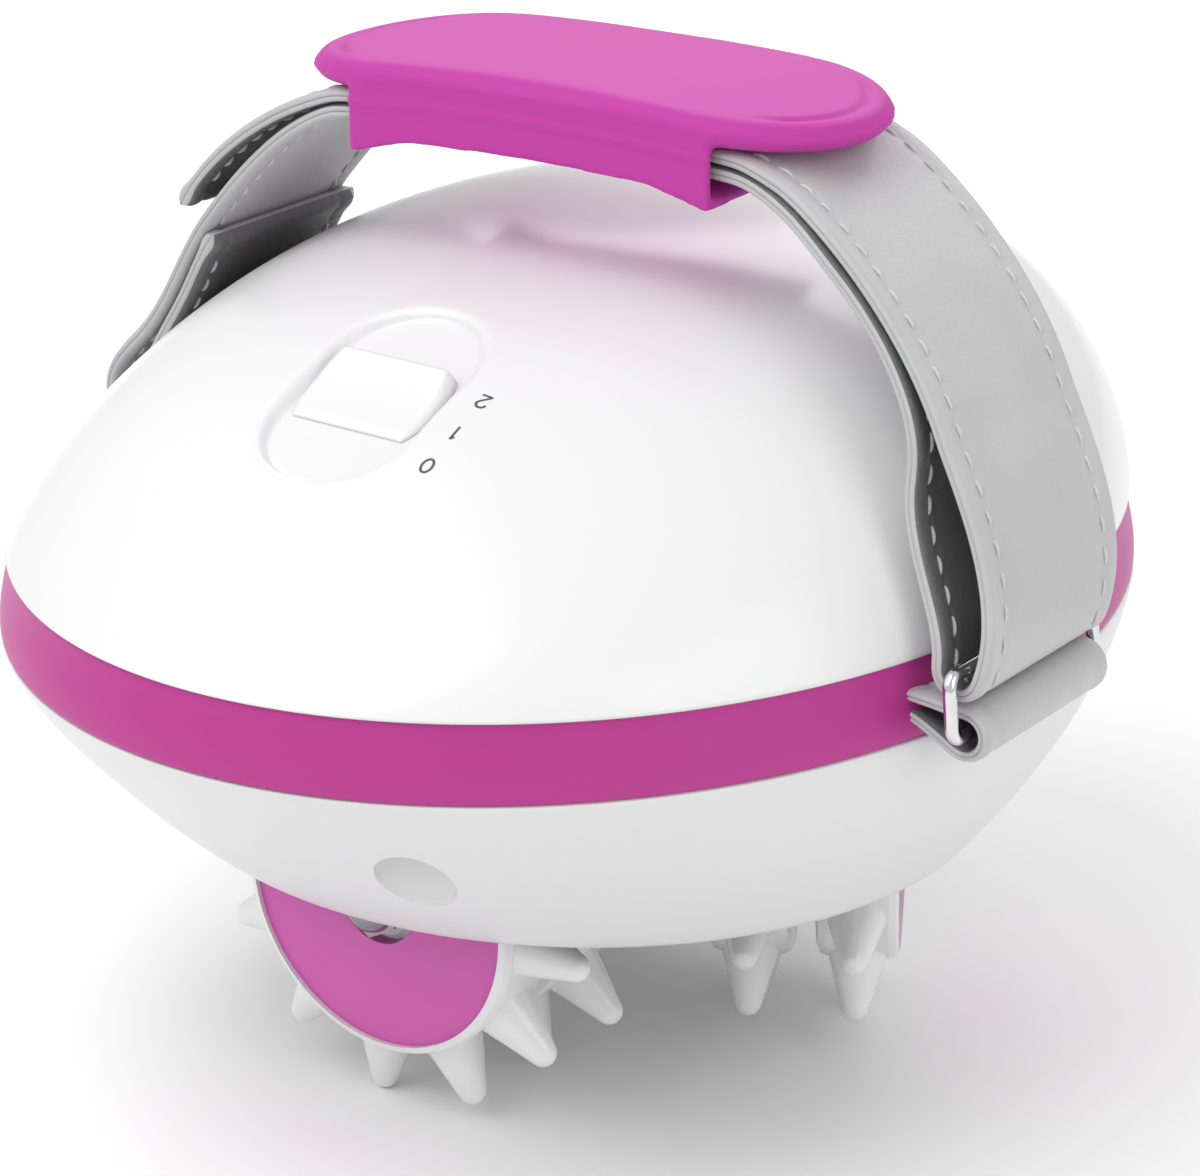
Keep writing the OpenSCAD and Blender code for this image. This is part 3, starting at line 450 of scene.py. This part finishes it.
count = 288
shells = [bowl_ring(0, 1.6, BELT_LOW - 0.02, count), bowl_ring(0, 0.5, BELT_LOW - 0.04, count),
          bowl_ring(0, 0.18, BELT_LOW - 0.2, count)]
for u in np.linspace(0.02, 0.985, 40):
    shells.append(bowl_ring(u, 0, BELT_LOW - BOWL_H * u, count))
for inset, z in ((0.12, -0.1), (0.45, -0.35), (1.0, -0.5), (1.6, -0.4), (2.05, -0.1)):
    shells.append(bowl_ring(1, inset, BELT_LOW - BOWL_H + z + 0.4, count))
for u in np.linspace(0.985, 0.1, 26):
    shells.append(bowl_ring(u, 2.2, BELT_LOW - BOWL_H * u, count))
bowl = add_piece("lower_shell", np.concatenate(shells), ring_faces(len(shells), count, loop=True),
                 "main_body", pale_shell, ("lower_housing",))
bm = bmesh.new()
bm.from_mesh(bowl.data)
bmesh.ops.recalc_face_normals(bm, faces=bm.faces)
bm.to_mesh(bowl.data)
bm.free()

# Screw wells: vertical bores with a collar inside, ending on the seats that hold the screws. The
# collar's lower edge follows the housing, so that it stays behind the wall.
WELL_X, WELL_Y, WELL_R, SEAT_Z = 22, 60, 4.6, BELT_LOW - 4.2


def wall_height(x, y, inset):
    lo, hi = np.zeros(len(x)), np.ones(len(x))
    for _ in range(30):
        u = (lo + hi) / 2
        w = RIM_W - inset + (HALF_W + FLARE - RIM_W) * (1 - u ** 1.84) ** 1.05
        l = RIM_L - inset + (HALF_L + FLARE - RIM_L) * (1 - u ** 1.15) ** 0.94
        inside = (x / w) ** 2 + (y / l) ** 2 < 1
        lo, hi = np.where(inside, u, lo), np.where(inside, hi, u)
    return BELT_LOW - BOWL_H * lo


def well_ring(sx, sy, r, z=None):
    a = np.linspace(0, 2 * np.pi, 64, endpoint=False)
    x, y = sx * WELL_X + r * np.cos(a), sy * WELL_Y + r * np.sin(a)
    return np.stack([x, y, wall_height(x, y, 1.1) if z is None else np.full(64, z)], 1)


cutters = []
for sx in (-1, 1):
    for sy in (-1, 1):
        below = well_ring(sx, sy, WELL_R, BELT_LOW - BOWL_H - 5)
        pts = np.concatenate([below, well_ring(sx, sy, WELL_R, SEAT_Z)])
        mesh = bpy.data.meshes.new("well_cut")
        mesh.from_pydata([tuple(p * MM) for p in pts], [], ring_faces(2, 64, closed_ends=True))
        cutter = bpy.data.objects.new("well_cut", mesh)
        scene.collection.objects.link(cutter)
        cutters.append(cutter)
        well = np.concatenate([
            well_ring(sx, sy, WELL_R - 0.01), well_ring(sx, sy, WELL_R - 0.01, SEAT_Z),
            well_ring(sx, sy, 1.6, SEAT_Z), well_ring(sx, sy, 1.6, SEAT_Z + 2),
            well_ring(sx, sy, WELL_R + 1.2, SEAT_Z + 2), well_ring(sx, sy, WELL_R + 1.2)])
        add_piece(f"screw_well_{'l' if sx < 0 else 'r'}{'f' if sy < 0 else 'b'}", well,
                  ring_faces(6, 64, loop=True), "main_body", pale_shell)
for cutter in cutters:
    apply_modifier(bowl, "BOOLEAN", operation="DIFFERENCE", object=cutter, solver="EXACT")
    bpy.data.objects.remove(cutter)
bowl.data.polygons.foreach_set("use_smooth", [True] * len(bowl.data.polygons))
bowl.data.set_sharp_from_angle(angle=math.radians(38))

# Thumb piece: a shallow white wedge that slides in the recess. It rises to a ridge at the rear
# and is rounded all over.
knob_w, knob_l = SLOT_W - 1.6, 11.0
knob_points = []
knob_u = np.linspace(-1, 1, 49)
knob_v = np.linspace(-1, 1, 57)
for v in knob_v:
    for u in knob_u:
        y = v * knob_l / 2
        reach = math.sqrt(max((knob_w / 2) ** 2 - max(0, abs(y) - 1.3) ** 2, 0))
        x = u * reach
        rise = 0.55 + 1.75 * (0.5 + 0.5 * v) ** 1.15 - 0.3 * math.sin(math.pi * (0.5 + 0.5 * v))
        edge_drop = min((reach - abs(x)) / 1.1, (knob_l / 2 - y) / 0.55, (y + knob_l / 2) / 1.4)
        soft = 1 - (1 - min(1, max(0, edge_drop))) ** 2.6
        knob_points.append(slot_mid + [x, 0, 0] + y * slot_along
                           + (-SLOT_D + 0.12 + max(0.02, rise * soft)) * slot_out)
n = len(knob_u)
faces = [(r * n + c, r * n + c + 1, (r + 1) * n + c + 1, (r + 1) * n + c)
         for r in range(len(knob_v) - 1) for c in range(n - 1)]
knob = add_piece("thumb_piece", np.array(knob_points) + [0, 0, BELT_Z], faces, "switch_slider",
                 white_shell, ("switch_knob",))
apply_modifier(knob, "SOLIDIFY", thickness=0.4 * MM, offset=-1)


# Numerals 0, 1 and 2 beside the recess: thin strokes of grey ink, printed on the dome and
# following its curve, one for each place of the thumb piece
ink_grey = material("ink_grey", moulded, (0.09, 0.09, 0.095), {"Gloss": 0.5, "Grain": 0.05})


def ink_stroke(name, strokes, centre_y):
    pts, faces = [], []
    for stroke in strokes:
        for (x0, y0), (x1, y1) in zip(stroke[:-1], stroke[1:]):
            d = np.array([x1 - x0, y1 - y0])
            d = d / max(np.hypot(*d), 1e-9)
            side = np.array([-d[1], d[0]]) * 0.15
            quad = [np.array([x0, y0]) - d * 0.05 + side, np.array([x0, y0]) - d * 0.05 - side,
                    np.array([x1, y1]) + d * 0.05 - side, np.array([x1, y1]) + d * 0.05 + side]
            base = len(pts)
            for q in quad:
                p = surface_point(np.array([14.0 - q[0]]), np.array([centre_y - q[1]]))[0]
                pts.append(p + 0.03 * slot_out)
            faces.append((base, base + 1, base + 2, base + 3))
    add_piece(name, np.array(pts) + [0, 0, BELT_Z], faces, "main_body", ink_grey)


oval = [(0.62 * math.cos(a), 1.0 * math.sin(a)) for a in np.linspace(0, 2 * math.pi, 25)]
two = [(-0.58, 0.48)] + [(0.6 * math.cos(a), 0.44 + 0.56 * math.sin(a))
                         for a in np.linspace(math.radians(165), math.radians(-35), 12)]
two += [(-0.6, -1.0), (0.68, -1.0)]
ink_stroke("numeral_zero", [oval], -8.5)
ink_stroke("numeral_one", [[(-0.3, 0.62), (0, 1.0), (0, -1.0)]], -3.0)
ink_stroke("numeral_two", [two], 2.6)

# Strap: one long band of grey leather with light stitching near both edges; its reverse is darkened as
# painted shade.
# It follows the solid strap's line: over the top, round the right bar, back inside, round the left
# bar and up to its cut end.
# The reverse's dark grey is painted shade for the faces turned down and towards the body, not a lining
# colour.
reverse_painted_shade_leather = material("reverse_painted_shade_leather", leather, (0.16, 0.16, 0.163), {"Depth": 0.5})
edge_leather = material("edge_leather", leather, (0.5, 0.5, 0.505), {"Depth": 0.15})
thread_light = material("thread_light", leather, (0.62, 0.62, 0.62), {"Depth": 0.8})
STRAP_W, STRAP_T = 28.0, 1.6
RIGHT_Y, LEFT_Y, TOP_Y, GRIP_TURN = -9.0, 6.0, 3.9, math.radians(3.5)
CROWN_R, TOP, CROWN_X = 320.0, 49.0, 28.0
BAR_X, BAR_Z, FOLD_R = HALF_W + 3.8, 0.3, 2.7
GAP = STRAP_T + 0.3


def strap_y(x, z):
    # Straight through the grip, then aside towards each foot on its way down
    top = TOP_Y + math.tan(GRIP_TURN) * np.clip(x, -36, 36)
    down = np.clip(1 - z / (float(crown(CROWN_X)) - GAP - 0.4), 0, 1)
    return top + (np.where(np.asarray(x) > 0, RIGHT_Y, LEFT_Y) - top) * down


def crown(x):
    return TOP - CROWN_R + np.sqrt(CROWN_R ** 2 - np.asarray(x, float) ** 2)


def bezier(p, n):
    t = np.linspace(0, 1, n)[:, None]
    p = np.array(p, float)
    return (1 - t) ** 3 * p[0] + 3 * (1 - t) ** 2 * t * p[1] + 3 * (1 - t) * t * t * p[2] + t ** 3 * p[3]


def bow(cx, a0, a1):
    a = np.radians(np.linspace(a0, a1, 24))
    return np.stack([cx + FOLD_R * np.cos(a), BAR_Z + FOLD_R * np.sin(a)], 1)


edge_z = float(crown(CROWN_X))
over = np.linspace(-CROWN_X, CROWN_X, 60)
strap_line = np.concatenate([
    bezier([(-54.2, 29.5), (-49.5, 36.8), (-38.5, 44.6), (-CROWN_X, edge_z)], 30),
    np.stack([over, crown(over)], 1)[1:],
    bezier([(CROWN_X, edge_z), (35, edge_z - 1.6), (52.5, 35.5), (60.6, 22.5)], 40)[1:],
    bezier([(60.6, 22.5), (65.5, 16), (BAR_X + FOLD_R + 1.1, 8), (BAR_X + FOLD_R, BAR_Z)], 30)[1:],
    bow(BAR_X, 0, -180)[1:],
    bezier([(BAR_X - FOLD_R, BAR_Z), (BAR_X - FOLD_R, 5), (57.6, 12), (57.4, 19)], 30)[1:],
    bezier([(57.4, 19), (57.2, 25), (50.5, 32.5), (42.4, 38)], 24)[1:],
    bezier([(42.4, 38), (38.2, 40.9), (34, edge_z - GAP - 1.5), (CROWN_X, edge_z - GAP)], 20)[1:],
    np.stack([over[::-1], crown(over[::-1]) - GAP], 1)[1:],
    bezier([(-CROWN_X, edge_z - GAP), (-34, edge_z - GAP - 1.9), (-41.5, 38), (-49, 29.7)], 30)[1:],
    bezier([(-49, 29.7), (-55.5, 23), (-57.5, 16), (-64.8, 9.4)], 24)[1:],
    bezier([(-64.8, 9.4), (-68.6, 6), (-BAR_X - FOLD_R, 4), (-BAR_X - FOLD_R, BAR_Z)], 16)[1:],
    bow(-BAR_X, 180, 360)[1:],
    bezier([(-BAR_X + FOLD_R, BAR_Z), (-BAR_X + FOLD_R, 5), (-58.6, 12.5), (-55.6, 17)], 24)[1:],
    bezier([(-55.6, 17), (-53.6, 20), (-52.2, 22.8), (-49.3, 26.4)], 16)[1:]])


def walk(line, step):
    # The same line with points at even steps, its length at each, and its left-hand normals
    gaps = np.hypot(*np.diff(line, axis=0).T)
    far = np.concatenate([[0], np.cumsum(gaps)])
    n = int(far[-1] / step)
    s = np.linspace(0, far[-1], n + 1)
    p = np.stack([np.interp(s, far, line[:, 0]), np.interp(s, far, line[:, 1])], 1)
    for _ in range(3):
        p[1:-1] = (p[:-2] + 2 * p[1:-1] + p[2:]) / 4
    d = np.gradient(p, axis=0)
    d /= np.linalg.norm(d, axis=1, keepdims=True)
    return p, s, np.stack([-d[:, 1], d[:, 0]], 1)


def leather_band(name, line, half_w, half_t, place, body, replaces, cap=1.3):
    # A strap with turned edges: a fuller lip, a stitched furrow, and a fold line along the edge
    p, s, normal = walk(line, 0.7)
    total = s[-1]
    half = [(0, 1), (half_w * 0.4, 1), (half_w - 4.6, 1), (half_w - 3.7, 0.98), (half_w - 3.35, 0.86),
            (half_w - 3.1, 0.8), (half_w - 2.85, 0.86), (half_w - 2.5, 1.0), (half_w - 1.6, 1.12),
            (half_w - 0.75, 1.08), (half_w - 0.25, 0.8), (half_w, 0.42), (half_w - 0.1, 0.12)]
    top = [(-w, h) for w, h in reversed(half)][:-1] + half
    loop = top + [(half_w - 0.32, 0)] + [(w, -h) for w, h in reversed(top)] + [(-half_w + 0.32, 0)]
    loop = np.array(loop)
    rings = []
    for i in range(len(p)):
        near = min(s[i], total - s[i])
        shrink = math.sqrt(max(0.0, 1 - (1 - min(1, near / cap)) ** 2))
        grow = 1 + 0.45 * math.exp(-((near - 1.6) / 1.6) ** 2)
        off = loop[:, 1] * half_t * max(shrink, 0.05) * grow
        x = p[i, 0] + normal[i, 0] * off
        z = p[i, 1] + normal[i, 1] * off
        w = loop[:, 0] * (1 - 0.02 * (1 - shrink))
        rings.append(np.stack([x, place(p[i, 0], p[i, 1]) + w, z + BELT_Z], 1))
    count = len(loop)
    faces = ring_faces(len(rings), count, closed_ends=True)
    piece = add_piece(name, np.concatenate(rings), faces, body,
                      [grey_leather, reverse_painted_shade_leather, edge_leather], replaces)
    # Face side takes the grey, the reverse side the painted-shade dark grey, edges and ends the edge grey.
    top_n = len(top)
    index = []
    for f in faces:
        cols = sorted(v % count for v in f)
        col = cols[0] if cols[-1] - cols[0] < count / 2 else cols[-1]
        if len(f) != 4 or col < 3 or top_n - 4 <= col < top_n + 4 or col >= count - 4:
            index.append(2)
        else:
            index.append(0 if col < top_n else 1)
    piece.data.polygons.foreach_set("material_index", index)
    return p, s, normal


def stitches(name, p, s, normal, across, rise, body, start, stop, pitch=3.3, long=2.3, side=1):
    # One thread mesh: short swollen stitches that dip into the furrow at both ends
    pts, faces = [], []
    at = start
    while at + long < stop:
        k = np.linspace(0, 1, 7)
        for w in across:
            base = len(pts)
            for t in k:
                d = at + long * t
                c = np.array([np.interp(d, s, p[:, 0]), np.interp(d, s, p[:, 1])])
                n = np.array([np.interp(d, s, normal[:, 0]), np.interp(d, s, normal[:, 1])]) * side
                hump = math.sin(math.pi * t) ** 0.6
                r = 0.11 + 0.15 * hump
                h = rise - 0.28 + 0.3 * hump
                slant = 0.25 * (t - 0.5)
                for a in np.linspace(0, 2 * math.pi, 6, endpoint=False):
                    o = h + r * math.sin(a)
                    q = c + n * o
                    pts.append((q[0], strap_y(c[0], c[1]) + w + slant + r * math.cos(a), q[1] + BELT_Z))
            for r_i in range(6):
                for a_i in range(6):
                    a2 = (a_i + 1) % 6
                    faces.append((base + r_i * 6 + a_i, base + r_i * 6 + a2,
                                  base + (r_i + 1) * 6 + a2, base + (r_i + 1) * 6 + a_i))
            faces.append(tuple(base + i for i in reversed(range(6))))
            faces.append(tuple(base + 36 + i for i in range(6)))
        at += pitch
    return add_piece(name, pts, faces, body, thread_light)


line_p, line_s, line_n = leather_band(
    "hand_strap", strap_line, STRAP_W / 2, STRAP_T / 2, strap_y, "main_body", ("strap",))
rows = (-STRAP_W / 2 + 3.1, STRAP_W / 2 - 3.1)
stitches("strap_stitches", line_p, line_s, line_n, rows, STRAP_T / 2, "main_body", 3, line_s[-1] - 3)
stitches("strap_stitches_reverse", line_p, line_s, line_n, rows, STRAP_T / 2, "main_body", 4.5,
         line_s[-1] - 3, side=-1)

# Tabs: each is one leather piece that comes out of the belt, loops round the ring's lower bar
# in an open roll, and goes back in
LOW_X, LOW_Z = 68.6, -7.0
for sign, name in ((1, "right"), (-1, "left")):
    loop_r = 2.6
    a = np.radians(np.linspace(-115, 112, 40))
    ring = np.stack([LOW_X + loop_r * np.cos(a), LOW_Z + loop_r * np.sin(a)], 1)
    tab_line = np.concatenate([
        bezier([(56, -5.35), (60, -5.35), (63.2, -6.6), ring[0]], 20),
        ring[1:-1],
        bezier([ring[-1], (66.5, -4.4), (62.5, -3.9), (56, -3.9)], 20)])
    tab_line = tab_line * [sign, 1]
    if sign > 0:
        tab_line = tab_line[::-1]
    foot = RIGHT_Y if sign > 0 else LEFT_Y
    leather_band(name + "_tab_loop", tab_line, 13.5, 0.68, lambda x, z: foot, "main_body",
                 (name + "_tab",), cap=0.4)

# Grip: a top plate, two side walls and a floor, melted into one soft magenta moulding that the
# strap runs through. Its floor falls away at both mouths, as the solid's does.
pad_magenta = material(
    "pad_magenta", moulded, (0.52, 0.05, 0.36), {"Gloss": 0.5, "Grain": 0.06}, specular=0.15)
pts, faces = [], []


def add_slab(outline_half, half_w, low, high, round_edge, cols=57, rows=25):
    # A slab that follows the crown: superellipse plan, thinner towards its edge
    base = len(pts)
    for face_up in (True, False):
        for i in range(cols):
            for j in range(rows):
                a = -1 + 2 * i / (cols - 1)
                b = -1 + 2 * j / (rows - 1)
                # square to disc, then stretched to a stadium
                px = a * math.sqrt(max(0, 1 - b * b / 2))
                py = b * math.sqrt(max(0, 1 - a * a / 2))
                r = math.hypot(px, py)
                ang = math.atan2(py, px)
                reach = stadium_reach(np.array([math.pi / 2 - ang]), 2 * outline_half, 2 * half_w)[0]
                x, w = r * reach * math.cos(ang), r * reach * math.sin(ang)
                inside = (1 - r) * reach
                thin = math.sqrt(max(0, 1 - (1 - min(1, inside / round_edge)) ** 2))
                mid = (low + high) / 2
                h = mid + (high - mid) * thin * (1 if face_up else -1)
                pts.append((x, w, float(crown(x)) + h))
    n = cols * rows
    for i in range(cols - 1):
        for j in range(rows - 1):
            k = base + i * rows + j
            faces.append((k, k + rows, k + rows + 1, k + 1))
            faces.append((k + n, k + n + 1, k + n + rows + 1, k + n + rows))


CH_TOP = STRAP_T / 2 + 0.5
CH_LOW = CH_TOP - 2 * STRAP_T - 1.3
PAD_L, PAD_W, PAD_T = 38, 16.3, 3.6
SLEEVE_L, FLARE_X, FLARE_TILT = 25, 17, math.radians(15)
WALL_OUT, WALL_IN = 16.1, 15.0


def mouth_drop(x):
    # How far the sleeve's floor falls away below the crown's curve, towards each mouth
    past = max(0.0, abs(x) - FLARE_X)
    return past * math.tan(FLARE_TILT) - past * (abs(x) + FLARE_X) / (2 * CROWN_R)


def add_bar(x0, x1, w0, w1, low, high, floor=False, steps=40):
    base = len(pts)
    for x in np.linspace(x0, x1, steps):
        c, d = float(crown(x)), mouth_drop(x)
        z0, z1 = c + low - d, c + high - (d if floor else 0)
        pts.extend([(x, w0, z0), (x, w1, z0), (x, w1, z1), (x, w0, z1)])
    for k in range(steps - 1):
        for i in range(4):
            j = (i + 1) % 4
            faces.append((base + 4 * k + i, base + 4 * k + j, base + 4 * (k + 1) + j, base + 4 * (k + 1) + i))
    faces.append((base + 3, base + 2, base + 1, base))
    faces.append(tuple(base + 4 * (steps - 1) + i for i in range(4)))


add_slab(PAD_L, PAD_W, CH_TOP, CH_TOP + PAD_T, 3.2)
add_bar(-SLEEVE_L, SLEEVE_L, -WALL_OUT, -WALL_IN, CH_LOW - 1.2, CH_TOP + 1.2)
add_bar(-SLEEVE_L, SLEEVE_L, WALL_IN, WALL_OUT, CH_LOW - 1.2, CH_TOP + 1.2)
add_bar(-SLEEVE_L, SLEEVE_L, -16, 16, CH_LOW - 1.3, CH_LOW, floor=True)
turn_c, turn_s = math.cos(GRIP_TURN), math.sin(GRIP_TURN)
lifted = [(x * turn_c - w * turn_s, TOP_Y + x * turn_s + w * turn_c, z + BELT_Z) for x, w, z in pts]
grip = add_piece("soft_grip", lifted, faces, "grip", pad_magenta, ("grip_sleeve",))
bm = bmesh.new()
bm.from_mesh(grip.data)
bmesh.ops.remove_doubles(bm, verts=bm.verts, dist=1e-6)
bmesh.ops.recalc_face_normals(bm, faces=bm.faces)
bm.to_mesh(grip.data)
bm.free()
apply_modifier(grip, "REMESH", mode="VOXEL", voxel_size=0.42 * MM)
apply_modifier(grip, "SMOOTH", factor=0.6, iterations=5)
n = len(grip.data.vertices)
co = np.empty(n * 3)
grip.data.vertices.foreach_get("co", co)
co = co.reshape(-1, 3) / MM
no = np.empty(n * 3)
grip.data.vertices.foreach_get("normal", no)
no = no.reshape(-1, 3)
z_rel = co[:, 2] - BELT_Z
l = co[:, 0] * turn_c + (co[:, 1] - TOP_Y) * turn_s
w = (co[:, 1] - TOP_Y) * turn_c - co[:, 0] * turn_s
h = z_rel - crown(l)
inset = PAD_W - np.hypot(np.maximum(np.abs(l) - (PAD_L - PAD_W), 0), w)
ends = np.clip((np.abs(l) - 27) / 4, 0, 1)
groove = np.exp(-((inset - 3.3) / 0.55) ** 2) * ends * (no[:, 2] > 0.4)
co -= no * (0.45 * groove)[:, None]
seam = np.exp(-((h - CH_TOP + 1.2) / 0.45) ** 2) * (np.abs(w) > 15.4)
co += no * (0.22 * seam)[:, None]
grip.data.vertices.foreach_set("co", (co * MM).ravel())
grip.data.update()
grip.data.polygons.foreach_set("use_smooth", [True] * len(grip.data.polygons))
